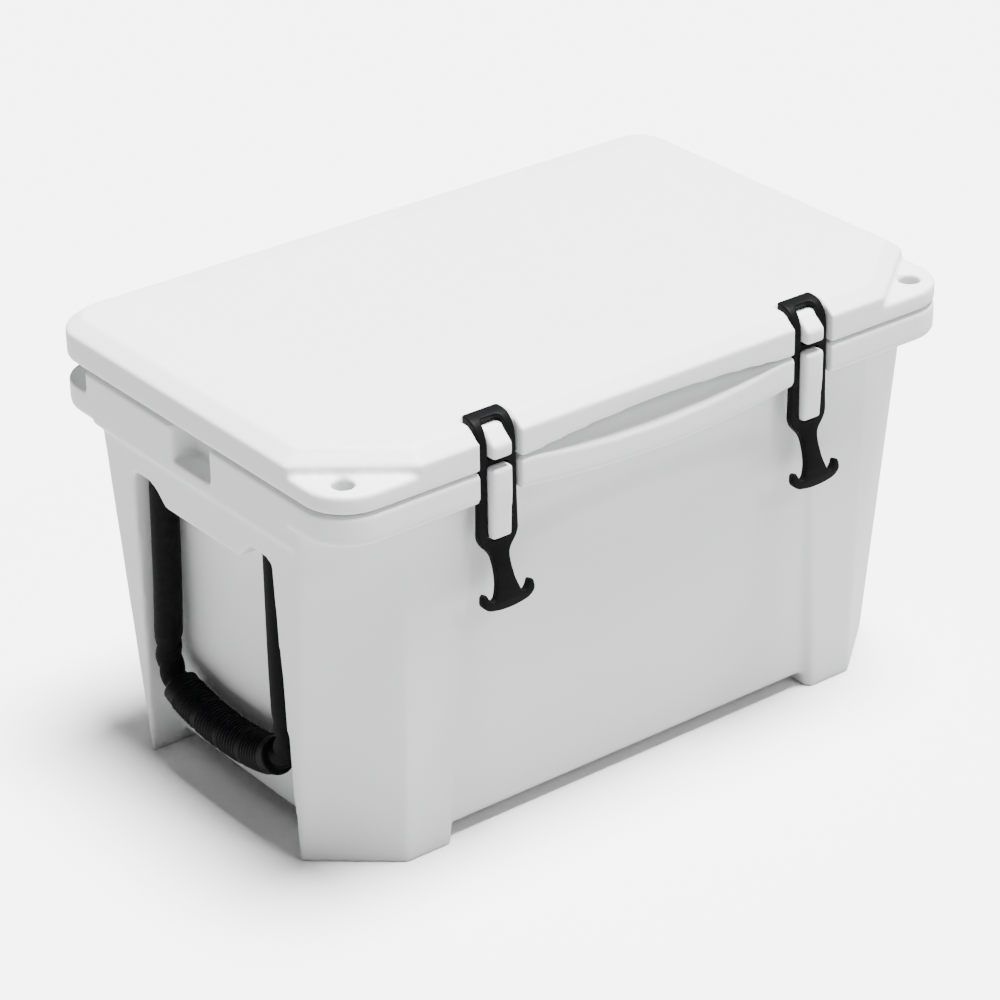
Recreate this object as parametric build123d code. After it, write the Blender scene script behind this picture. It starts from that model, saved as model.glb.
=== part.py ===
"""Rotomoulded cooler chest with rubber T-handle latches and rope carry handles.

Millimetres. +Z is up, +X is the right-hand end, -Y is the front with the two latches.
The chest is drawn about its own centre planes with z = 0 under its feet. At the end every
piece is moved along Y so that the origin is the middle of the bounding box's bottom.
"""
from build123d import *
import os
from math import cos, pi, radians, sin, tan

os.makedirs("parts", exist_ok=True)

# ---------------------------------------------------------------- driving sizes
LENGTH = 680.0  # overall, along X
WIDTH = 432.0  # lid and rim, along Y
HEIGHT = 410.0
HALF_L = LENGTH / 2
HALF_W = WIDTH / 2
SKIN = 4.5  # wall of the hollow mouldings
GAP = 0.5  # clearance where two bodies face each other

# heights of the tub
FLOOR_Z = 14.0  # underside between the feet
RIM_BOTTOM = 339.5
RIM_TOP = 368.5
END_BAND_BOTTOM = 320.0
LEDGE_BOTTOM = 322.0  # back ledge under the hinge
LEDGE_TOP = 348.0
NECK_Y = 192.0  # back wall in the hinge gap
NOTCH_X = 311.0  # the rim steps in at its back corners
NOTCH_Y = 159.0
PLAN_RADIUS = 42.0  # vertical corners of rim and lid

# heights of the lid
LID_BOTTOM = 369.8
TAB_TOP = 388.0
BEVEL_BOTTOM = 396.0
PLATFORM_TOP = 407.0
BEVEL_RUN = 15.0
TAB_END_Y = 148.0  # where the 45-degree corner cut meets the end
TAB_FRONT_X = 254.0  # and the front
PANEL_X = 293.0  # half length of the flat panel on top
PANEL_BACK = 172.0
PANEL_CUT = [(231.0, -156.0), (293.0, -104.0)]  # its cut front corner

# inside
CAVITY_L = 508.0
CAVITY_W = 300.0
CAVITY_BOTTOM = 68.0
CAVITY_TAPER = 1.9  # degrees
CAVITY_RADIUS = 28.0
LID_PLUG_DROP = 11.0

# latches
LATCH_X = 172.0
STRAP_W = 40.0
STRAP_T = 8.0
STRAP_MID_Y = -207.5
NUB_W = 20.5
CHANNEL_W = STRAP_W + 3.0
NUB_FRONT_Y = -219.0
CHANNEL_FLOOR_Y = -202.0
PIVOT_Z = 373.2  # crossbar of the strap, just above the seam
BARREL_R = 3.5
LATCH_PIN_R = 1.5
KEEPER_BOTTOM = 301.5
T_HALF = 25.5
T_BOTTOM = 241.0

# end recesses and rope handles
END_MID_Y = -6.0  # the recess, window and handle are centred here
RECESS_X = 294.0  # back wall of the recess at z = 0
RECESS_DRAFT = 0.015
FOOT_X = 205.0  # half the space between the feet at the front
FOOT_GAP = 115.0  # half the space between the feet at an end
MOUTH_TOP = 294.0
APRON_BOTTOM = 275.5
ROPE_R = 13.0
ROPE_Y = 87.0
ROPE_X = 314.5
ROPE_TOP = 289.0
WINDOW_BOTTOM = 334.5
WINDOW_DEPTH = 24.0
ROPE_LEAN = 0.016  # outward, per mm of drop
FERRULE_R = 14.4
GRIP_R = 18.0
GRIP_LENGTH = 160.0

# hinge
HINGE_Y = 204.0
HINGE_Z = 363.0
KNUCKLE_R = 6.0
HINGE_PIN_R = 3.0
RUNNING = 0.06
HINGE_STATIONS = (-190.0, 190.0)

# drain, through the back wall
DRAIN_X = 150.0
DRAIN_Z = 80.0
DRAIN_BORE_R = 11.0
SPOT_FACE_Y = 178.0

# tie-down holes in the front corners of lid and rim
HOLE_X = 311.0
HOLE_Y = -188.0
HOLE_R = 10.0

BIG = 2000.0


# ---------------------------------------------------------------- helpers
def block(x0, x1, y0, y1, z0, z1):
    """A box from its lowest to its highest corner."""
    return Pos((x0 + x1) / 2, (y0 + y1) / 2, (z0 + z1) / 2) * Box(x1 - x0, y1 - y0, z1 - z0)


def outline(points):
    return make_face(Polyline(*points, close=True))


def both_ends(solid):
    """The solid and its mirror image across X = 0."""
    return solid + mirror(solid, about=Plane.YZ)


def prism_x(points, x0, x1):
    """Points (y, z), extruded along X."""
    face = Plane.YZ * outline(points)
    return Pos(x0, 0, 0) * extrude(face, x1 - x0)


def prism_y(face, y0, y1):
    """A face drawn in x and z, extruded along Y."""
    return Pos(0, y1, 0) * extrude(Plane.XZ * face, y1 - y0)


def rod_x(x0, x1, y, z, radius):
    turned = Rot(0, 90, 0) * Cylinder(radius, x1 - x0)
    return Pos((x0 + x1) / 2, y, z) * turned


def rod_y(y0, y1, x, z, radius):
    turned = Rot(90, 0, 0) * Cylinder(radius, y1 - y0)
    return Pos(x, (y0 + y1) / 2, z) * turned


def rod_z(x, y, z0, z1, radius):
    return Pos(x, y, (z0 + z1) / 2) * Cylinder(radius, z1 - z0)


# ---------------------------------------------------------------- tub
def tub_plan(z, inset=0.0):
    """Corner columns stand proud of the front panel and are cut at 40 degrees towards the ends."""
    ridge_x = 211.0 - 0.06 * z
    panel_y = 175.0 + 0.055 * z - inset
    column_y = 183.0 + 0.036 * z - inset
    cut_x = 256.0 - 0.5 * inset
    end_x = 326.5 + 0.027 * z - inset
    end_y = 118.0 + 0.1 * z - 0.6 * inset
    step = 7.0
    side = [(ridge_x - step, panel_y), (ridge_x, column_y), (cut_x, column_y)]
    front = [(x, -y) for x, y in side] + [(end_x, END_MID_Y - end_y)]
    right = front + [(end_x, END_MID_Y + end_y)] + side[::-1]
    return right + [(-x, y) for x, y in reversed(right)]


def tub_walls(z0, z1, inset=0.0):
    sections = [Plane.XY.offset(z) * outline(tub_plan(z, inset)) for z in (z0, z1)]
    return loft(sections, ruled=True)


def recess(grow=0.0):
    """The pocket in the right end that the handle hangs in, with rope notches in its top."""
    foot_y = FOOT_GAP + grow
    top_y = 104.8 + grow
    top = MOUTH_TOP + grow
    apron = APRON_BOTTOM + grow
    bottom = -1.0 - grow
    points = [
        (foot_y, bottom), (top_y, top), (76.0 - grow, top), (56.0 - grow, apron),
        (grow - 56.0, apron), (grow - 76.0, top), (-top_y, top), (-foot_y, bottom),
    ]
    face = outline(points)
    upper = face.vertices().filter_by(lambda v: v.Y > 0)
    face = fillet(upper, 10.0)
    slot = Pos(270, END_MID_Y, 0) * extrude(Plane.YZ * face, 90)
    wall = RECESS_X - grow
    side = [(wall, bottom), (360, bottom), (360, top + 1), (wall + RECESS_DRAFT * top, top + 1)]
    return slot & prism_y(outline(side), -150, 150)


def cavity(grow=0.0):
    """The space inside, rounded at its corners and floor."""
    depth = BIG if grow < 0 else RIM_TOP + 1 - CAVITY_BOTTOM + grow
    top = RectangleRounded(CAVITY_L + 2 * grow, CAVITY_W + 2 * grow, CAVITY_RADIUS + grow)
    solid = extrude(Plane.XY.offset(RIM_TOP + 1) * top, -depth, taper=CAVITY_TAPER)
    floor = solid.faces().sort_by(Axis.Z)[0]
    return fillet(floor.edges(), 18.0 + grow)


def rising_edges(solid):
    """The edges that run up the walls."""
    return solid.edges().filter_by(lambda e: e.length > 300 and abs((e % 0.5).Z) > 0.9)


def tub_outside():
    walls = tub_walls(0, RIM_BOTTOM + 5)
    walls = fillet(rising_edges(walls).filter_by(lambda e: abs(e.center().X) > 230), 7.0)
    walls = fillet(rising_edges(walls).filter_by(lambda e: abs(e.center().X) < 230), 2.5)
    # between the feet the floor is higher
    walls -= block(-FOOT_X, FOOT_X, -BIG, BIG, -1, FLOOR_Z)
    walls -= block(-BIG, BIG, END_MID_Y - FOOT_GAP, END_MID_Y + FOOT_GAP, -1, FLOOR_Z)
    rounded = RectangleRounded(LENGTH, WIDTH, PLAN_RADIUS)
    rim = extrude(Plane.XY.offset(RIM_BOTTOM) * rounded, RIM_TOP - RIM_BOTTOM)
    rim = fillet(rim.faces().sort_by(Axis.Z)[-1].edges(), 3.0)
    rim += rim_sag()
    lower = rim.edges().filter_by(lambda e: e.center().Z < RIM_BOTTOM + 0.1)
    rim = fillet(lower.filter_by(lambda e: abs(e.center().Y) > 195 or abs(e.center().X) > 310), 6.0)
    end_band = extrude(Plane.XY.offset(END_BAND_BOTTOM) * rounded, RIM_BOTTOM + 8 - END_BAND_BOTTOM)
    end_band = fillet(end_band.faces().sort_by(Axis.Z)[0].edges(), 3.0)
    end_band &= block(-BIG, BIG, -146, 150, 0, BIG)
    end_band -= block(-300, 300, -BIG, BIG, 0, BIG)
    ledge = extrude(Plane.XY.offset(LEDGE_BOTTOM) * rounded, LEDGE_TOP - LEDGE_BOTTOM)
    ledge = fillet(ledge.faces().sort_by(Axis.Z)[0].edges(), 6.0)
    ledge = fillet(ledge.faces().sort_by(Axis.Z)[-1].edges(), 3.0)
    ledge &= block(-BIG, BIG, 130, BIG, 0, BIG)
    neck = block(-BIG, BIG, NECK_Y, BIG, LEDGE_TOP, BIG)
    neck += both_ends(block(NOTCH_X, BIG, NOTCH_Y, BIG, LEDGE_TOP, BIG))
    return walls + (rim - neck) + end_band + ledge


def rim_sag():
    """The front of the rim hangs lower between the latches."""
    reach = 150.0
    low = RIM_BOTTOM - 11.0
    arc = ThreePointArc((-reach, RIM_BOTTOM + 0.5), (0, low), (reach, RIM_BOTTOM + 0.5))
    lid_line = Line((reach, RIM_BOTTOM + 0.5), (reach, RIM_BOTTOM + 8))
    back = Line((reach, RIM_BOTTOM + 8), (-reach, RIM_BOTTOM + 8))
    side = Line((-reach, RIM_BOTTOM + 8), (-reach, RIM_BOTTOM + 0.5))
    return prism_y(make_face([arc, lid_line, back, side]), -HALF_W, -185)


def finger_scoop():
    """A tilted cylinder takes the top front corner off the rim between the latches."""
    reach, drop, tilt = 152.0, 15.0, 28.0
    radius = (reach**2 + drop**2) / (2 * drop)
    lean = radius * sin(radians(tilt))
    rise = radius * cos(radians(tilt))
    cylinder = Rot(90 + tilt, 0, 0) * Cylinder(radius, 140)
    return Pos(0, -HALF_W - lean, RIM_TOP - drop + rise) * cylinder


def keeper(x):
    """The nub below the seam that a strap hooks under."""
    front = [(-216, KEEPER_BOTTOM), (NUB_FRONT_Y, 345), (NUB_FRONT_Y, RIM_TOP)]
    shape = [(-185, KEEPER_BOTTOM + 6)] + front + [(-185, RIM_TOP)]
    nub = prism_x(shape, x - NUB_W / 2, x + NUB_W / 2)
    outer = nub.edges().filter_by(lambda e: e.center().Y < -205)
    return fillet(outer, 2.0)


def channel(x, z0, z1):
    return block(x - CHANNEL_W / 2, x + CHANNEL_W / 2, -BIG, CHANNEL_FLOOR_Y, z0, z1)


def strap_slots(z0, z1):
    return channel(-LATCH_X, z0, z1) + channel(LATCH_X, z0, z1)


def end_window():
    """A slot in the rim's end, under the lid."""
    return block(HALF_L - WINDOW_DEPTH, HALF_L + 5, END_MID_Y - 28, END_MID_Y + 28, WINDOW_BOTTOM, RIM_TOP + 5)


def tie_holes(z0, z1):
    return rod_z(-HOLE_X, HOLE_Y, z0, z1, HOLE_R) + rod_z(HOLE_X, HOLE_Y, z0, z1, HOLE_R)


def knuckle(x0, x1, z0, z1):
    """A hinge knuckle with the foot that joins it to its moulding."""
    foot = block(x0, x1, HINGE_Y - KNUCKLE_R, HINGE_Y + KNUCKLE_R, z0, z1)
    return rod_x(x0, x1, HINGE_Y, HINGE_Z, KNUCKLE_R) + foot


def tub_knuckles():
    lugs = []
    for x in HINGE_STATIONS:
        for side in (-1, 1):
            near, far = x + side * 21.0, x + side * 42.0
            lugs.append(knuckle(min(near, far), max(near, far), LEDGE_TOP - 4, HINGE_Z))
    return lugs


def ferrule(y):
    return rod_z(ROPE_X, END_MID_Y + y, ROPE_TOP, 322, FERRULE_R)


def tub_foam_space():
    space = tub_walls(FLOOR_Z + SKIN, RIM_BOTTOM - 4, SKIN)
    collar = block(-CAVITY_L / 2 - 25, CAVITY_L / 2 + 25, -175, 175, RIM_BOTTOM - 4, RIM_TOP - SKIN)
    space += collar
    space -= both_ends(recess(SKIN))
    space -= cavity(SKIN)
    window = (END_MID_Y - 28 - SKIN, END_MID_Y + 28 + SKIN)
    space -= both_ends(block(HALF_L - WINDOW_DEPTH - SKIN, BIG, *window, WINDOW_BOTTOM - SKIN, BIG))
    for y in (END_MID_Y - ROPE_Y, END_MID_Y + ROPE_Y):
        space -= both_ends(rod_z(ROPE_X, y, 280, 322 + SKIN, FERRULE_R + SKIN))
    space -= rod_y(100, 250, DRAIN_X, DRAIN_Z, 20)
    return space


FILL_PORTS = [(-120.0, 90.0), (120.0, -90.0)]
PORT_R = 14.0


def fill_port(x, y):
    return rod_z(x, y, FLOOR_Z - 1, FLOOR_Z + SKIN + 2, PORT_R)


foam_space = tub_foam_space()
body_shell = tub_outside()
body_shell -= both_ends(recess())
body_shell -= cavity()
body_shell -= finger_scoop()
body_shell -= strap_slots(RIM_BOTTOM - 12, RIM_TOP + 1)
body_shell += keeper(-LATCH_X)
body_shell += keeper(LATCH_X)
body_shell -= both_ends(end_window())
body_shell -= tie_holes(300, RIM_TOP + 1)
for lug in tub_knuckles():
    body_shell += lug
for x in HINGE_STATIONS:
    body_shell -= rod_x(x - 42, x + 42, HINGE_Y, HINGE_Z, HINGE_PIN_R)
for y in (-ROPE_Y, ROPE_Y):
    body_shell -= both_ends(ferrule(y))
body_shell -= foam_space
for x, y in FILL_PORTS:
    body_shell -= fill_port(x, y)
LINER_R = 15.0
FLANGE_R = 22.0
body_shell -= rod_y(100, 250, DRAIN_X, DRAIN_Z, LINER_R)
body_shell -= rod_y(SPOT_FACE_Y, 250, DRAIN_X, DRAIN_Z, FLANGE_R + 0.5)

body_foam = foam_space
body_fill_plugs = Compound([rod_z(x, y, FLOOR_Z, FLOOR_Z + SKIN, PORT_R) for x, y in FILL_PORTS])
hinge_pins = Compound([rod_x(x - 42, x + 42, HINGE_Y, HINGE_Z, HINGE_PIN_R) for x in HINGE_STATIONS])


# ---------------------------------------------------------------- lid
def lid_plan(inset=0.0):
    """The raised platform's plan, with the front corners cut off."""
    x, y = HALF_L - inset, HALF_W - inset
    cut = 0.35 * inset
    quarter = [(TAB_FRONT_X - cut, -y), (x, -(TAB_END_Y - cut)), (x, y), (-x, y)]
    points = quarter + [(-x, -(TAB_END_Y - cut)), (-(TAB_FRONT_X - cut), -y)]
    return outline(points)


def round_back(face, radius, z):
    back = face.vertices().filter_by(lambda v: v.Y > 0)
    return Plane.XY.offset(z) * fillet(back, radius)


def crown():
    """The top rises a little from the bevel to a flat panel."""
    right = PANEL_CUT + [(PANEL_X, PANEL_BACK)]
    panel = outline(right + [(-x, y) for x, y in reversed(right)])
    foot = round_back(lid_plan(BEVEL_RUN), PLAN_RADIUS - BEVEL_RUN, PLATFORM_TOP)
    return loft([foot, round_back(panel, 6.0, HEIGHT)], ruled=True)


def lid_outside():
    rounded = RectangleRounded(LENGTH, WIDTH, PLAN_RADIUS)
    skirt = extrude(Plane.XY.offset(LID_BOTTOM) * rounded, TAB_TOP - LID_BOTTOM)
    skirt = fillet(skirt.faces().sort_by(Axis.Z)[-1].edges(), 3.5)
    skirt = fillet(skirt.faces().sort_by(Axis.Z)[0].edges(), 2.5)
    platform = extrude(round_back(lid_plan(), PLAN_RADIUS, TAB_TOP - 8), PLATFORM_TOP - TAB_TOP + 8)
    top = platform.faces().sort_by(Axis.Z)[-1]
    platform = chamfer(top.edges(), PLATFORM_TOP - BEVEL_BOTTOM, BEVEL_RUN)
    return skirt + platform + crown()


def lid_plug():
    face = RectangleRounded(CAVITY_L - 12, CAVITY_W - 12, CAVITY_RADIUS - 4)
    plug = extrude(Plane.XY.offset(LID_BOTTOM - LID_PLUG_DROP) * face, LID_PLUG_DROP + 1, taper=0)
    return fillet(plug.faces().sort_by(Axis.Z)[0].edges(), 5.0)


def lid_arch():
    """Finger room under the lid's front edge."""
    reach, rise = 150.0, 9.5
    arc = ThreePointArc((-reach, LID_BOTTOM - 1), (0, LID_BOTTOM + rise), (reach, LID_BOTTOM - 1))
    base = Line((reach, LID_BOTTOM - 1), (-reach, LID_BOTTOM - 1))
    return prism_y(make_face([arc, base]), -BIG, -HALF_W + 22)


def lid_channel(x):
    """Room for the strap's upper loop."""
    half = CHANNEL_W / 2
    front = block(x - half, x + half, -BIG, CHANNEL_FLOOR_Y, LID_BOTTOM - 1, HEIGHT + 5)
    top = block(x - half, x + half, -BIG, -185, 402, HEIGHT + 5)
    return front + top


def lid_nub(x):
    """The nub that holds the strap's upper loop."""
    bottom = PIVOT_Z + 4
    shape = [(-196, bottom), (NUB_FRONT_Y, bottom), (NUB_FRONT_Y, 390), (-204, 402), (-196, 402)]
    nub = prism_x(shape, x - NUB_W / 2, x + NUB_W / 2)
    outer = nub.edges().filter_by(lambda e: e.center().Y < -205)
    return fillet(outer, 2.0)


GASKET_OUT = (534.0, 326.0)
GASKET_IN = (520.0, 312.0)
GASKET_TOP = 373.5
LID_FOAM_BOTTOM = 363.5


def gasket_ring(z0, z1):
    outer = extrude(Plane.XY.offset(z0) * RectangleRounded(*GASKET_OUT, 34), z1 - z0)
    inner = extrude(Plane.XY.offset(z0 - 1) * RectangleRounded(*GASKET_IN, 28), z1 - z0 + 2)
    return outer - inner


def lid_foam_space():
    floor = GASKET_TOP + 3.0
    upper = extrude(round_back(lid_plan(7 + SKIN), PLAN_RADIUS - 7 - SKIN, floor), 402.0 - floor)
    lower = extrude(Plane.XY.offset(LID_FOAM_BOTTOM) * RectangleRounded(484, 276, 20), 14)
    space = upper + lower
    for x in (-LATCH_X, LATCH_X):
        half = CHANNEL_W / 2 + SKIN
        space -= block(x - half, x + half, -BIG, -180 + SKIN, 300, BIG)
    space -= block(-160, 160, -BIG, -HALF_W + 22 + SKIN, 300, BIG)
    return space


LID_PORT = (0.0, 60.0)


def lid_knuckles():
    return [knuckle(x - 20.5, x + 20.5, HINGE_Z, LID_BOTTOM + 4) for x in HINGE_STATIONS]


lid_foam = lid_foam_space()
lid_shell = lid_outside() + lid_plug()
lid_shell -= lid_arch()
for x in (-LATCH_X, LATCH_X):
    lid_shell -= lid_channel(x)
    lid_shell += lid_nub(x)
    lid_shell -= rod_x(x - 28, x + 28, STRAP_MID_Y, PIVOT_Z, LATCH_PIN_R)
lid_shell -= tie_holes(360, TAB_TOP + 5)
lid_shell -= gasket_ring(LID_BOTTOM - 1, GASKET_TOP)
for lug in lid_knuckles():
    lid_shell += lug
for x in HINGE_STATIONS:
    lid_shell -= rod_x(x - 30, x + 30, HINGE_Y, HINGE_Z, HINGE_PIN_R + RUNNING)
lid_shell -= lid_foam
lid_shell -= rod_z(*LID_PORT, 347, 365, PORT_R)

lid_gasket = gasket_ring(RIM_TOP + 0.35, GASKET_TOP)
lid_fill_plug = rod_z(*LID_PORT, LID_BOTTOM - LID_PLUG_DROP, LID_FOAM_BOTTOM, PORT_R)


# ---------------------------------------------------------------- latches
def strap_anchor(x):
    """The upper loop, held on the lid's nub, over the lid's top edge."""
    back, front = STRAP_MID_Y + STRAP_T / 2, STRAP_MID_Y - STRAP_T / 2
    base = PIVOT_Z + BARREL_R + 0.3
    side = [
        (back, base), (front, base), (front, 397.0), (-200.5, 410.0),
        (-186.0, 410.0), (-186.0, 402.6), (back - 0.5, 402.6),
    ]
    loop = prism_x(side, x - STRAP_W / 2, x + STRAP_W / 2)
    corners = loop.edges().filter_by(Axis.X).filter_by(lambda e: e.center().Y < -190 and e.center().Z > 390)
    loop = fillet(corners.filter_by(lambda e: e.center().Y < -195), 2.0)
    window = NUB_W / 2 + GAP
    return loop - block(x - window, x + window, -BIG, BIG, 300, 402.4)


def strap_front():
    """Outline of the lower strap in x and z: loop, shoulders, neck and T-handle."""
    half = STRAP_W / 2
    right = [
        (half, PIVOT_Z), (half, 312), (half + 0.5, 303), (half - 1.5, 298), (9, 287), (8, 275),
        (9.5, 262), (13, 250.5), (15.5, 248.5), (18.5, 252), (21.5, 257.5), (T_HALF - 0.5, 255.5),
        (T_HALF, 249), (20, 243.5), (8, T_BOTTOM),
    ]
    return outline(right + [(-x, z) for x, z in reversed(right)])


def strap_side():
    """Profile of the lower strap in y and z: straight, then kicked out from the wall."""
    front = [(-211.5, PIVOT_Z), (-211.5, 300), (-214.5, 286), (-221.5, 266), (-225, 254), (-225, T_BOTTOM - 2)]
    back = [(-214.5, T_BOTTOM - 2), (-213.5, 252), (-211, 266), (-205, 288), (-203.5, 300), (-203.5, PIVOT_Z)]
    return front + back


def strap_body(x):
    """The lower loop hooks round the keeper and hangs from the crossbar barrel."""
    body = prism_y(strap_front(), -240, -190) & prism_x(strap_side(), -40, 40)
    barrel = rod_x(-STRAP_W / 2, STRAP_W / 2, STRAP_MID_Y, PIVOT_Z, BARREL_R)
    window = NUB_W / 2 + GAP
    body -= block(-window, window, -BIG, BIG, KEEPER_BOTTOM - 1.0, PIVOT_Z)
    body -= block(-40, 40, -BIG, BIG, PIVOT_Z, BIG)
    body += barrel
    body -= rod_x(-30, 30, STRAP_MID_Y, PIVOT_Z, LATCH_PIN_R)
    return Pos(x, 0, 0) * body


latch_left_anchor = strap_anchor(-LATCH_X)
latch_right_anchor = strap_anchor(LATCH_X)
latch_left_strap = strap_body(-LATCH_X)
latch_right_strap = strap_body(LATCH_X)
PIN_R = LATCH_PIN_R - 0.05
latch_pins = Compound([rod_x(x - 27, x + 27, STRAP_MID_Y, PIVOT_Z, PIN_R) for x in (-LATCH_X, LATCH_X)])


# ---------------------------------------------------------------- rope handles
def hanging_plane():
    """Local x is the row's Y, local y points up the hanging rope, at the right end."""
    down = Vector(ROPE_LEAN, 0, -1).normalized()
    across = Vector(0, 1, 0)
    return Plane(origin=(ROPE_X, END_MID_Y, ROPE_TOP), x_dir=across, z_dir=across.cross(-down))


ROPE_ROUTE = [
    (87, -1), (88, -72), (90, -139), (95.5, -197), (56, -213),
    (0, -218.5), (-56, -213), (-95.5, -197), (-90, -139), (-88, -72), (-87, -1),
]


def route_radii(points):
    """Each bend takes 0.45 of its shorter run."""
    radii = []
    for a, b, c in zip(points, points[1:], points[2:]):
        first = Vector(*b) - Vector(*a)
        second = Vector(*c) - Vector(*b)
        turn = first.get_angle(second)
        radii.append(0.45 * min(first.length, second.length) / tan(radians(turn / 2)))
    return radii


def rope_path():
    radii = route_radii(ROPE_ROUTE)
    print("rope bend radii, mm:", [round(r) for r in radii])
    return hanging_plane() * FilletPolyline(*ROPE_ROUTE, radius=radii)


def along(path, section):
    return sweep(Plane(origin=path @ 0, z_dir=path % 0) * section, path=path)


def grip(path):
    """A moulded sleeve on the rope's lower run, following its sag."""
    share = GRIP_LENGTH / path.length
    return along(path.trim(0.5 - share / 2, 0.5 + share / 2), Circle(GRIP_R) - Circle(ROPE_R))


route = rope_path()
right_rope = along(route, Circle(ROPE_R))
right_grip = grip(route)
measured_length = right_rope.volume / (pi * ROPE_R**2)
print("rope length, mm:", round(route.length), "and by its volume:", round(measured_length))
handle_right_rope = right_rope
handle_left_rope = mirror(right_rope, about=Plane.YZ)
handle_right_grip = right_grip
handle_left_grip = mirror(right_grip, about=Plane.YZ)
ferrules = [ferrule(y) for y in (-ROPE_Y, ROPE_Y)]
rope_ferrules = Compound(ferrules + [mirror(f, about=Plane.YZ) for f in ferrules])


# ---------------------------------------------------------------- drain
WALL_IN = 139.0


def drain_parts():
    seat = SPOT_FACE_Y + 3.5
    liner = rod_y(WALL_IN, seat, DRAIN_X, DRAIN_Z, LINER_R)
    flange = rod_y(SPOT_FACE_Y, seat, DRAIN_X, DRAIN_Z, FLANGE_R)
    liner = liner + flange - rod_y(100, 250, DRAIN_X, DRAIN_Z, DRAIN_BORE_R)
    liner -= cavity()
    plug = rod_y(seat - 26, seat + 4, DRAIN_X, DRAIN_Z, DRAIN_BORE_R - 0.5)
    head = rod_y(seat + 3.2, seat + 11, DRAIN_X, DRAIN_Z, 17)
    wing = block(DRAIN_X - 15, DRAIN_X + 15, seat + 10, seat + 19, DRAIN_Z - 3, DRAIN_Z + 3)
    plug = plug + fillet(head.edges(), 1.5) + fillet(wing.edges(), 1.4)
    ring = Pos(DRAIN_X, seat + 1.6, DRAIN_Z) * (Rot(90, 0, 0) * Torus(12.4, 1.5))
    return liner, plug, ring


drain_liner, drain_plug, drain_oring = drain_parts()


# ---------------------------------------------------------------- export
NODES = {
    "body_shell": body_shell,
    "body_foam": body_foam,
    "body_fill_plugs": body_fill_plugs,
    "hinge_pins": hinge_pins,
    "rope_ferrules": rope_ferrules,
    "drain_liner": drain_liner,
    "drain_plug": drain_plug,
    "drain_oring": drain_oring,
    "lid_shell": lid_shell,
    "lid_foam": lid_foam,
    "lid_gasket": lid_gasket,
    "lid_fill_plug": lid_fill_plug,
    "latch_pins": latch_pins,
    "latch_left_anchor": latch_left_anchor,
    "latch_right_anchor": latch_right_anchor,
    "latch_left_strap": latch_left_strap,
    "latch_right_strap": latch_right_strap,
    "handle_left_rope": handle_left_rope,
    "handle_left_grip": handle_left_grip,
    "handle_right_rope": handle_right_rope,
    "handle_right_grip": handle_right_grip,
}

front_reach = min(shape.bounding_box().min.Y for shape in NODES.values())
back_reach = max(shape.bounding_box().max.Y for shape in NODES.values())
shift = -(front_reach + back_reach) / 2
print("Y from", round(front_reach, 2), "to", round(back_reach, 2), "so every piece moves", round(shift, 3))
for name, shape in NODES.items():
    export_step(Pos(0, shift, 0) * shape, f"parts/{name}.step")
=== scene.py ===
"""Cooler chest: mouldings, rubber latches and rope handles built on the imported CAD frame.

Metres, in the row frame: +Z up, the latches face -Y, the origin is under the middle of the chest.
"""
import math

import bmesh
import bpy
import numpy as np
from mathutils import Matrix, Vector


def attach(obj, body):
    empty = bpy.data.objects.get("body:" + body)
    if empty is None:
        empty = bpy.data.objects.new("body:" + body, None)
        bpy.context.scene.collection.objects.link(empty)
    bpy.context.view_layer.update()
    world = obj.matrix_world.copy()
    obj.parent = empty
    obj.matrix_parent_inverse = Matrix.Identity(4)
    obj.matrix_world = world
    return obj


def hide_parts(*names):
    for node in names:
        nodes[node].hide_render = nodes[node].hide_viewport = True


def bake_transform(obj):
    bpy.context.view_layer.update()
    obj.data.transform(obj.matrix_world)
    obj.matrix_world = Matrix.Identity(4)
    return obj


MM = 0.001
SHIFT_Y = 4.5  # drawn millimetres to the row frame, along Y

# heights and planes of the CAD, drawn millimetres
RIM_BOTTOM = 339.5
PIVOT_Z = 373.2
LATCH_X = 172.0
STRAP_W = 40.0
STRAP_T = 7.4
KEEPER_BOTTOM = 301.5
WINDOW_HALF = 10.9
END_MID_Y = -6.0
ROPE_X = 314.5
ROPE_TOP = 289.0
ROPE_LEAN = 0.016
GRIP_R = 18.0
GRIP_LENGTH = 160.0

# finger room in the front wall, drawn millimetres
CREASE_Z = 284.0
CREASE_SAG = 7.0
CREASE_SAG_AT = 96.0
HOLLOW_DEPTH = 4.0
HOLLOW_OUTER_X = 150
HOLLOW_FULL_X = 126
HOLLOW_FRONT_Y = -203
HOLLOW_BACK_Y = -180

# the route of the left rope in its plane: along the chest's end, and up from the ferrules
ROPE_ROUTE = [
    (87, -1), (88, -72), (90, -139), (95.5, -197), (56, -213),
    (0, -218.5), (-56, -213), (-95.5, -197), (-90, -139), (-88, -72), (-87, -1),
]

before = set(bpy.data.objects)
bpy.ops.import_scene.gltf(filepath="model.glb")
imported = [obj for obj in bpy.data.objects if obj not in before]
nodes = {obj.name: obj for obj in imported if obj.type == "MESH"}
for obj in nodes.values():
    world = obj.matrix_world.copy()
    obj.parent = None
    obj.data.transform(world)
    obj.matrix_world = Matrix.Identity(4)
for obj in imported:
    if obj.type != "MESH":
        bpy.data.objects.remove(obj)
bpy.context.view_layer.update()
scene = bpy.context.scene


# ---------------------------------------------------------------- small helpers
def row(x, y, z):
    """Drawn millimetres to the row frame."""
    return Vector((x * MM, (y + SHIFT_Y) * MM, z * MM))


def add_object(name, mesh):
    obj = bpy.data.objects.new(name, mesh)
    scene.collection.objects.link(obj)
    return obj


def mesh_object(name, points, faces):
    mesh = bpy.data.meshes.new(name)
    mesh.from_pydata([tuple(p) for p in points], [], faces)
    mesh.update()
    return add_object(name, mesh)


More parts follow.
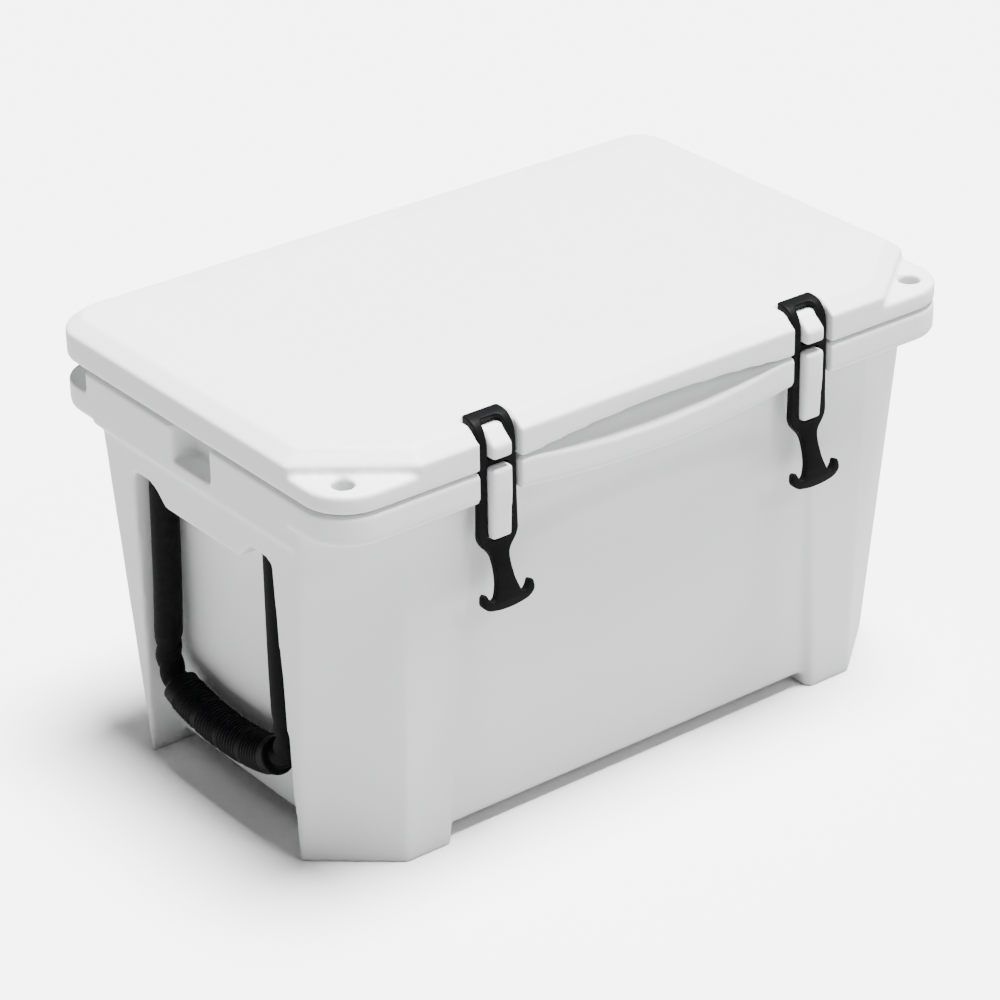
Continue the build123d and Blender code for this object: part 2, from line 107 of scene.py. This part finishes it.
def shade(obj, material, sharp=None):
    """Smooth shading and one material."""
    obj.data.polygons.foreach_set("use_smooth", [True] * len(obj.data.polygons))
    if sharp is not None:
        obj.data.set_sharp_from_angle(angle=math.radians(sharp))
    obj.data.materials.clear()
    obj.data.materials.append(material)
    return obj


def baked(obj):
    """Replaces the object's mesh by what its modifiers make of it."""
    bpy.context.view_layer.update()
    evaluated = obj.evaluated_get(bpy.context.evaluated_depsgraph_get())
    mesh = bpy.data.meshes.new_from_object(evaluated)
    obj.modifiers.clear()
    obj.data = mesh
    return obj


# ---------------------------------------------------------------- materials
def new_material(name):
    material = bpy.data.materials.new(name)
    material.use_nodes = True
    tree = material.node_tree
    return material, tree, tree.nodes["Principled BSDF"]


def mottle(tree, shader, colour, scale, spread):
    """A faint change of the base colour over the surface."""
    coords = tree.nodes.new("ShaderNodeTexCoord")
    noise = tree.nodes.new("ShaderNodeTexNoise")
    noise.inputs["Scale"].default_value = scale
    noise.inputs["Detail"].default_value = 3.0
    ramp = tree.nodes.new("ShaderNodeValToRGB")
    ramp.color_ramp.elements[0].position = 0.3
    ramp.color_ramp.elements[1].position = 0.7
    ramp.color_ramp.elements[0].color = [c * (1 - spread) for c in colour] + [1]
    ramp.color_ramp.elements[1].color = [min(1, c * (1 + spread)) for c in colour] + [1]
    tree.links.new(coords.outputs["Object"], noise.inputs["Vector"])
    tree.links.new(noise.outputs["Fac"], ramp.inputs["Fac"])
    tree.links.new(ramp.outputs["Color"], shader.inputs["Base Color"])
    return coords


def grain(tree, shader, coords, scale, distance, stretch):
    """Fine relief of the surface."""
    mapping = tree.nodes.new("ShaderNodeMapping")
    mapping.inputs["Scale"].default_value = stretch
    noise = tree.nodes.new("ShaderNodeTexNoise")
    noise.inputs["Scale"].default_value = scale
    noise.inputs["Detail"].default_value = 4.0
    bump = tree.nodes.new("ShaderNodeBump")
    bump.inputs["Distance"].default_value = distance
    bump.inputs["Strength"].default_value = 1.0
    tree.links.new(coords.outputs["Object"], mapping.inputs["Vector"])
    tree.links.new(mapping.outputs["Vector"], noise.inputs["Vector"])
    tree.links.new(noise.outputs["Fac"], bump.inputs["Height"])
    tree.links.new(bump.outputs["Normal"], shader.inputs["Normal"])


def make_material(name, colour, roughness, look):
    """look holds the scale and spread of the mottle, the scale and depth of the grain, and shader values."""
    material, tree, shader = new_material(name)
    shader.inputs["Roughness"].default_value = roughness
    shader.inputs["Metallic"].default_value = look.get("metallic", 0.0)
    shader.inputs["Specular IOR Level"].default_value = look.get("specular", 0.5)
    shader.inputs["Subsurface Weight"].default_value = look.get("subsurface", 0.0)
    shader.inputs["Subsurface Scale"].default_value = 0.004
    coords = mottle(tree, shader, colour, look["patch"], look["spread"])
    grain(tree, shader, coords, look["grain"], look["depth"], stretch=look.get("stretch", (1, 1, 1)))
    return material


POLYETHYLENE = make_material("white_polyethylene", (0.76, 0.765, 0.77), 0.46, {
    "patch": 6.0, "spread": 0.006, "grain": 900.0, "depth": 0.00006, "subsurface": 0.05, "specular": 0.4})
RUBBER = make_material("latch_rubber", (0.003, 0.003, 0.0033), 0.5, {
    "patch": 60.0, "spread": 0.15, "grain": 1400.0, "depth": 0.00004, "specular": 0.05})
ROPE = make_material("rope_fibre", (0.004, 0.004, 0.0045), 0.7, {
    "patch": 180.0, "spread": 0.3, "grain": 900.0, "depth": 0.0002, "specular": 0.08})
GRIP = make_material("grip_rubber", (0.005, 0.005, 0.0055), 0.5, {
    "patch": 80.0, "spread": 0.2, "grain": 1500.0, "depth": 0.00004, "specular": 0.07})
NYLON = make_material("black_nylon", (0.014, 0.014, 0.015), 0.42, {
    "patch": 40.0, "spread": 0.1, "grain": 1100.0, "depth": 0.00004})
SEAL = make_material("soft_seal", (0.05, 0.05, 0.05), 0.7, {
    "patch": 50.0, "spread": 0.1, "grain": 900.0, "depth": 0.00008, "specular": 0.3})
STEEL = make_material("stainless_steel", (0.58, 0.58, 0.59), 0.28, {
    "patch": 90.0, "spread": 0.04, "grain": 700.0, "depth": 0.00002, "metallic": 1.0, "stretch": (0.05, 1, 1)})
FOAM = make_material("polyurethane_foam", (0.80, 0.70, 0.48), 0.9, {
    "patch": 120.0, "spread": 0.06, "grain": 500.0, "depth": 0.0005, "specular": 0.2})


# ---------------------------------------------------------------- mouldings
def smooth_step(a, b, t):
    u = np.clip((t - a) / (b - a), 0, 1)
    return u * u * (3 - 2 * u)


def moulding(name, parts, voxel, passes):
    """One closed skin round the CAD nodes, with the soft edges of a rotomoulding."""
    shape = bmesh.new()
    for part in parts:
        copy = nodes[part].data.copy()
        copy.transform(nodes[part].matrix_world)
        shape.from_mesh(copy)
    mesh = bpy.data.meshes.new(name)
    shape.to_mesh(mesh)
    shape.free()
    obj = add_object(name, mesh)
    remesh = obj.modifiers.new("skin", "REMESH")
    remesh.mode = "VOXEL"
    remesh.voxel_size = voxel
    soften = obj.modifiers.new("soften", "SMOOTH")
    soften.factor = 0.5
    soften.iterations = passes
    return baked(obj)


def thin_out(obj, ratio):
    reduce = obj.modifiers.new("reduce", "DECIMATE")
    reduce.ratio = ratio
    return baked(obj)


def hollow_front(obj):
    """Finger room in the front wall, between a soft crease and the rim."""
    count = len(obj.data.vertices)
    co = np.empty(count * 3)
    obj.data.vertices.foreach_get("co", co)
    co = co.reshape(-1, 3)
    x = co[:, 0] / MM
    y = co[:, 1] / MM - SHIFT_Y
    z = co[:, 2] / MM
    crease = CREASE_Z - CREASE_SAG * (x / CREASE_SAG_AT) ** 2
    across = smooth_step(HOLLOW_OUTER_X, HOLLOW_FULL_X, np.abs(x))
    rise = smooth_step(crease - 3, crease + 26, z)
    under_rim = 1 - smooth_step(RIM_BOTTOM - 14, RIM_BOTTOM - 4, z)
    front = (y < HOLLOW_BACK_Y) & (y > HOLLOW_FRONT_Y)
    co[:, 1] += np.where(front, HOLLOW_DEPTH * MM * across * rise * under_rim, 0)
    obj.data.vertices.foreach_set("co", co.ravel())
    obj.data.update()
    return obj


VOXEL = 0.0022
tub = hollow_front(moulding("tub_moulding", ["body_shell", "body_fill_plugs"], VOXEL, 6))
tub = thin_out(tub, 0.3)
lid = moulding("lid_moulding", ["lid_shell", "lid_fill_plug"], VOXEL, 6)
lid = thin_out(lid, 0.3)
for piece, node, body in ((tub, "body_shell", "chest"), (lid, "lid_shell", "lid")):
    shade(piece, POLYETHYLENE)
    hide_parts(node)
    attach(piece, body)


# ---------------------------------------------------------------- latches
def round_corners(points, radii, steps=6):
    """A closed outline with each corner replaced by an arc."""
    out = []
    count = len(points)
    for i in range(count):
        p = Vector(points[i])
        a = Vector(points[i - 1]) - p
        b = Vector(points[(i + 1) % count]) - p
        reach = min(radii[i], 0.45 * a.length, 0.45 * b.length)
        start = p + a.normalized() * reach
        end = p + b.normalized() * reach
        for k in range(steps + 1):
            t = k / steps
            out.append((1 - t) ** 2 * start + 2 * t * (1 - t) * p + t * t * end)
    return out


def through(points, per_run):
    """A Catmull-Rom line through the points."""
    pts = [Vector(p) for p in points]
    pts = [2 * pts[0] - pts[1]] + pts + [2 * pts[-1] - pts[-2]]
    line = []
    for a, b, c, d in zip(pts, pts[1:], pts[2:], pts[3:]):
        for k in range(per_run):
            t = k / per_run
            line.append(0.5 * (2 * b + (c - a) * t + (2 * a - 5 * b + 4 * c - d) * t**2
                               + (3 * b - a - 3 * c + d) * t**3))
    line.append(pts[-2])
    return line


# the latch from its lower edge to its upper one, as y and z of its middle surface
LATCH_PROFILE = through([
    (-220.3, 239.5), (-220.0, 252), (-216.5, 266), (-210.5, 285), (-207.8, 300), (-207.5, 320),
    (-207.5, 345), (-207.5, 370), (-207.5, 388), (-205.6, 397.5), (-200.5, 404.6), (-193, 406.6),
    (-186.3, 406.6),
], 8)
LATCH_RUN = [0.0]
for before, after in zip(LATCH_PROFILE, LATCH_PROFILE[1:]):
    LATCH_RUN.append(LATCH_RUN[-1] + (after - before).length)


def run_at(z):
    """Distance along the latch where its middle surface is at height z."""
    return float(np.interp(z, [p.y for p in LATCH_PROFILE[:70]], LATCH_RUN[:70]))


def latch_outlines():
    half = STRAP_W / 2
    top = LATCH_RUN[-1]
    right = [
        (half - 1.5, top), (half, 320), (half + 0.6, 303.5), (half - 2.2, 297), (8.7, 287), (8.0, 275),
        (9.4, 262), (13.4, 251.5), (16.8, 249.0), (20.0, 252.5), (23.2, 258.5), (26.6, 256.5),
        (27.8, 248.5), (21.5, 242.5), (8, 239.7),
    ]
    radii = [3, 30, 5, 4, 12, 12, 10, 4, 3, 4, 3, 3, 8, 12, 12]
    right = [(x, v if v == top else run_at(v)) for x, v in right]
    outer = round_corners(right + [(-x, v) for x, v in reversed(right)], radii + radii[::-1])
    w = WINDOW_HALF
    low = run_at(KEEPER_BOTTOM - 1.5)
    middle = run_at(PIVOT_Z - 3.2)
    lower = round_corners([(w, low), (w, middle), (-w, middle), (-w, low)], [8.5, 3.5, 3.5, 8.5])
    base = run_at(PIVOT_Z + 2.4)
    high = top - 12.5
    upper = round_corners([(w, base), (w - 0.6, high), (0.6 - w, high), (-w, base)], [3.5, 5, 5, 3.5])
    return outer, lower, upper


def flat_solid(name, outlines, thickness, edge):
    """A plate with rounded edges, from an outline and its windows, in x and y."""
    curve = bpy.data.curves.new(name, "CURVE")
    curve.dimensions = "2D"
    curve.fill_mode = "BOTH"
    curve.extrude = (thickness / 2 - edge) * MM
    curve.bevel_depth = edge * MM
    curve.bevel_resolution = 3
    curve.offset = -edge * MM
    for points in outlines:
        spline = curve.splines.new("POLY")
        spline.points.add(len(points) - 1)
        for point, place in zip(spline.points, points):
            point.co = (place[0] * MM, place[1] * MM, 0, 1)
        spline.use_cyclic_u = True
    holder = add_object(name + "_curve", curve)
    bpy.context.view_layer.update()
    mesh = bpy.data.meshes.new_from_object(holder.evaluated_get(bpy.context.evaluated_depsgraph_get()))
    bpy.data.objects.remove(holder)
    return mesh


def cut_across(shape, stations):
    """Cuts the plate across at each distance, so that it can bend."""
    for v in stations:
        geometry = shape.verts[:] + shape.edges[:] + shape.faces[:]
        bmesh.ops.bisect_plane(shape, geom=geometry, plane_co=(0, v * MM, 0), plane_no=(0, 1, 0))


def make_latch(name, x):
    mesh = flat_solid(name, latch_outlines(), STRAP_T, 1.5)
    shape = bmesh.new()
    shape.from_mesh(mesh)
    bmesh.ops.remove_doubles(shape, verts=shape.verts, dist=0.00002)
    cut_across(shape, np.arange(2.0, LATCH_RUN[-1], 3.0))
    bmesh.ops.triangulate(shape, faces=[f for f in shape.faces if len(f.verts) > 4])
    profile = np.array([[p.x, p.y] for p in LATCH_PROFILE])
    slope = np.gradient(profile, axis=0)
    slope /= np.linalg.norm(slope, axis=1)[:, None]
    for vert in shape.verts:
        run = vert.co.y / MM
        y = np.interp(run, LATCH_RUN, profile[:, 0])
        z = np.interp(run, LATCH_RUN, profile[:, 1])
        along_y = np.interp(run, LATCH_RUN, slope[:, 0])
        along_z = np.interp(run, LATCH_RUN, slope[:, 1])
        out = vert.co.z / MM
        vert.co = row(x + vert.co.x / MM, y - along_z * out, z + along_y * out)
    shape.to_mesh(mesh)
    shape.free()
    obj = add_object(name, mesh)
    shade(obj, RUBBER, sharp=50)
    return obj


for side, x in (("left", -LATCH_X), ("right", LATCH_X)):
    latch = make_latch(f"latch_{side}_moulding", x)
    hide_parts(f"latch_{side}_anchor", f"latch_{side}_strap")
    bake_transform(latch)


# ---------------------------------------------------------------- rope handles
def hanging(side, a, b):
    """A point of the handle's plane: a along the chest's end, b upwards from the ferrules."""
    length = math.hypot(1, ROPE_LEAN)
    return row(side * (ROPE_X - ROPE_LEAN * b / length), END_MID_Y + a, ROPE_TOP + b / length)


def rope_line(side):
    """The route as a smooth line, closely sampled."""
    curve = bpy.data.curves.new("route", "CURVE")
    curve.dimensions = "3D"
    curve.resolution_u = 24
    spline = curve.splines.new("NURBS")
    spline.points.add(len(ROPE_ROUTE) - 1)
    for point, (a, b) in zip(spline.points, ROPE_ROUTE):
        point.co = (*hanging(side, a, b), 1)
    spline.order_u = 3
    spline.use_endpoint_u = True
    holder = add_object("route", curve)
    bpy.context.view_layer.update()
    mesh = bpy.data.meshes.new_from_object(holder.evaluated_get(bpy.context.evaluated_depsgraph_get()))
    line = np.array([v.co[:] for v in mesh.vertices])
    bpy.data.objects.remove(holder)
    return line


def resample(line, step):
    steps = np.linalg.norm(np.diff(line, axis=0), axis=1)
    run = np.concatenate([[0], np.cumsum(steps)])
    count = max(8, int(run[-1] / step))
    at = np.linspace(0, run[-1], count + 1)
    return np.stack([np.interp(at, run, line[:, k]) for k in range(3)], axis=1), at


def tube(name, line, around, radius):
    """A tube whose radius(run, angle) is given in metres; its ends are closed."""
    count = len(line)
    tangent = np.gradient(line, axis=0)
    tangent /= np.linalg.norm(tangent, axis=1)[:, None]
    side = np.cross(tangent, [1.0, 0, 0])
    side /= np.linalg.norm(side, axis=1)[:, None]
    third = np.cross(tangent, side)
    steps = np.linalg.norm(np.diff(line, axis=0), axis=1)
    run = np.concatenate([[0], np.cumsum(steps)])
    angles = np.linspace(0, 2 * math.pi, around, endpoint=False)
    rings = []
    for k in range(count):
        r = radius(run[k], angles)
        rings.append(line[k] + np.outer(r * np.cos(angles), side[k]) + np.outer(r * np.sin(angles), third[k]))
    points = np.concatenate(rings)
    faces = []
    for k in range(count - 1):
        for j in range(around):
            n = (j + 1) % around
            faces.append((k * around + j, k * around + n, (k + 1) * around + n, (k + 1) * around + j))
    faces.append(tuple(range(around)))
    faces.append(tuple((count - 1) * around + j for j in reversed(range(around))))
    return mesh_object(name, points, faces)


ROPE_LAY = 0.060  # one turn of a strand
SHEATH_END = 0.160  # the rope is whipped smooth down to here
ROPE_THIN = 0.0118
WHIPPED_R = 0.0128
RIB_PITCH = 0.0042
RIB_HEIGHT = 0.0011


def rope_radius(total):
    def radius(run, angles):
        from_end = min(run, total - run)
        bare = float(smooth_step(SHEATH_END - 0.006, SHEATH_END + 0.004, np.array(from_end)))
        turn = 2 * math.pi * run / ROPE_LAY
        strand = np.abs(np.cos(1.5 * (angles - turn)))
        lobed = ROPE_THIN * (0.84 + 0.20 * strand ** 0.8)
        smooth = np.full_like(angles, WHIPPED_R)
        return (1 - bare) * smooth + bare * lobed
    return radius


def grip_radius(total):
    """Four groups of fine ribs between plain bands, and a plain cuff at each end."""
    cuff = 0.0135
    band = 0.0065
    group = (total - 2 * cuff - 3 * band) / 4

    def radius(run, angles):
        place = run - cuff
        base = GRIP_R * MM
        edge = min(run, total - run)
        rounding = 0.0016 * (1 - float(smooth_step(0.0, 0.0022, np.array(edge))))
        value = base - 0.0009 - rounding
        if 0 <= place <= total - 2 * cuff:
            inside = place % (group + band)
            if inside <= group:
                value = base - RIB_HEIGHT + RIB_HEIGHT * math.sin(math.pi * inside / RIB_PITCH) ** 2
        return np.full_like(angles, value)
    return radius


for side, sign in (("left", -1), ("right", 1)):
    line = rope_line(sign)
    path, runs = resample(line, 0.0015)
    total = runs[-1]
    rope = tube(f"rope_{side}", path, 48, rope_radius(total))
    shade(rope, ROPE)
    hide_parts(f"handle_{side}_rope")
    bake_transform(rope)
    middle = total / 2
    reach = GRIP_LENGTH * MM / 2
    fine, at = resample(line, 0.0007)
    sleeve_line = fine[(at > middle - reach) & (at < middle + reach)]
    sleeve = tube(f"grip_{side}", sleeve_line, 64, grip_radius(2 * reach))
    shade(sleeve, GRIP, sharp=40)
    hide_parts(f"handle_{side}_grip")
    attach(sleeve, f"handle_{side}")


# ---------------------------------------------------------------- plugs
def disc(name, x, y, z0, z1, radius):
    """A press-in plug with a small bevel."""
    shape = bmesh.new()
    bmesh.ops.create_cone(shape, cap_ends=True, segments=48, radius1=radius * MM, radius2=radius * MM,
                          depth=(z1 - z0) * MM)
    bmesh.ops.bevel(shape, geom=shape.edges[:], offset=0.6 * MM, segments=2, affect="EDGES")
    shape.transform(Matrix.Translation(row(x, y, (z0 + z1) / 2)))
    mesh = bpy.data.meshes.new(name)
    shape.to_mesh(mesh)
    shape.free()
    return mesh


def plugs(name, places, node, body):
    shape = bmesh.new()
    for place in places:
        shape.from_mesh(disc(name, *place))
    mesh = bpy.data.meshes.new(name)
    shape.to_mesh(mesh)
    shape.free()
    obj = add_object(name, mesh)
    shade(obj, POLYETHYLENE, sharp=40)
    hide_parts(node)
    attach(obj, body)


PLUG_R = 14
CHEST_PLUG_Z = (13.4, 18.5)
LID_PLUG_Z = (358.2, 363.5)
plugs("chest_plugs", [(-120, 90, *CHEST_PLUG_Z, PLUG_R), (120, -90, *CHEST_PLUG_Z, PLUG_R)],
      "body_fill_plugs", "chest")
plugs("lid_plug", [(0, 60, *LID_PLUG_Z, PLUG_R)], "lid_fill_plug", "lid")

# ---------------------------------------------------------------- CAD nodes that stay
KEPT = {
    "body_foam": FOAM,
    "lid_foam": FOAM,
    "hinge_pins": STEEL,
    "latch_pins": STEEL,
    "rope_ferrules": NYLON,
    "drain_liner": NYLON,
    "drain_plug": NYLON,
    "drain_oring": SEAL,
    "lid_gasket": SEAL,
}
for name, material in KEPT.items():
    node = nodes[name]
    for place in node.material_slots:
        place.material = material
    if not node.material_slots:
        node.data.materials.append(material)


# ---------------------------------------------------------------- camera
def build_camera():
    azimuth, elevation, roll = (math.radians(a) for a in (-37.27, 27.80, -1.09))
    back = Vector((
        math.sin(azimuth) * math.cos(elevation),
        -math.cos(azimuth) * math.cos(elevation),
        math.sin(elevation),
    ))
    right = (-back).cross(Vector((0, 0, 1))).normalized()
    up = right.cross(-back)
    turned_right = right * math.cos(roll) + up * math.sin(roll)
    turned_up = up * math.cos(roll) - right * math.sin(roll)
    target = Vector((0, 0.0045, 0.1904)) - turned_right * 0.0069
    camera = bpy.data.objects.new("camera", bpy.data.cameras.new("camera"))
    scene.collection.objects.link(camera)
    placed = Matrix((turned_right, turned_up, back)).transposed().to_4x4()
    placed.translation = target + back * 3.290
    camera.matrix_world = placed
    camera.data.sensor_width = 36
    camera.data.lens = 130.18
    camera.data.shift_x = -0.00126
    camera.data.shift_y = 0.00199
    camera.data.clip_end = 60
    scene.camera = camera
    return right, back


view_right, view_back = build_camera()


# ---------------------------------------------------------------- floor and light
FLOOR_BOUNCE = 0.38
FLOOR_SEEN = 0.97


def build_floor():
    floor = mesh_object("floor", [(-14, -14, 0), (14, -14, 0), (14, 14, 0), (-14, 14, 0)], [(0, 1, 2, 3)])
    material, tree, shader = new_material("floor_paper")
    # bright to the camera, greyer to the light that it throws back on the chest
    path = tree.nodes.new("ShaderNodeLightPath")
    tone = tree.nodes.new("ShaderNodeValToRGB")
    tone.color_ramp.elements[0].color = (FLOOR_BOUNCE, FLOOR_BOUNCE, FLOOR_BOUNCE, 1)
    tone.color_ramp.elements[1].color = (FLOOR_SEEN, FLOOR_SEEN, FLOOR_SEEN, 1)
    tree.links.new(path.outputs["Is Camera Ray"], tone.inputs["Fac"])
    tree.links.new(tone.outputs["Color"], shader.inputs["Base Color"])
    shader.inputs["Roughness"].default_value = 0.9
    shader.inputs["Specular IOR Level"].default_value = 0.1
    floor.data.materials.append(material)


def sun(name, towards, strength, angle):
    """Parallel soft light; towards is the direction that it travels."""
    lamp = bpy.data.lights.new(name, "SUN")
    lamp.energy = strength
    lamp.angle = math.radians(angle)
    obj = bpy.data.objects.new(name, lamp)
    scene.collection.objects.link(obj)
    obj.rotation_euler = Vector(towards).to_track_quat("-Z", "Y").to_euler()


def build_world(strength):
    world = bpy.data.worlds.new("studio")
    scene.world = world
    world.use_nodes = True
    background = world.node_tree.nodes["Background"]
    background.inputs["Color"].default_value = (1, 1, 1, 1)
    background.inputs["Strength"].default_value = strength


build_floor()
build_world(0.22)
level_back = Vector((view_back.x, view_back.y, 0)).normalized()
sun("overhead", view_right * -0.16 + Vector((0, 0, -1)) + level_back * 0.06, 20.0, 24)
sun("key", view_right * -1.0 - level_back * 0.75 + Vector((0, 0, -1.1)), 0.7, 9)
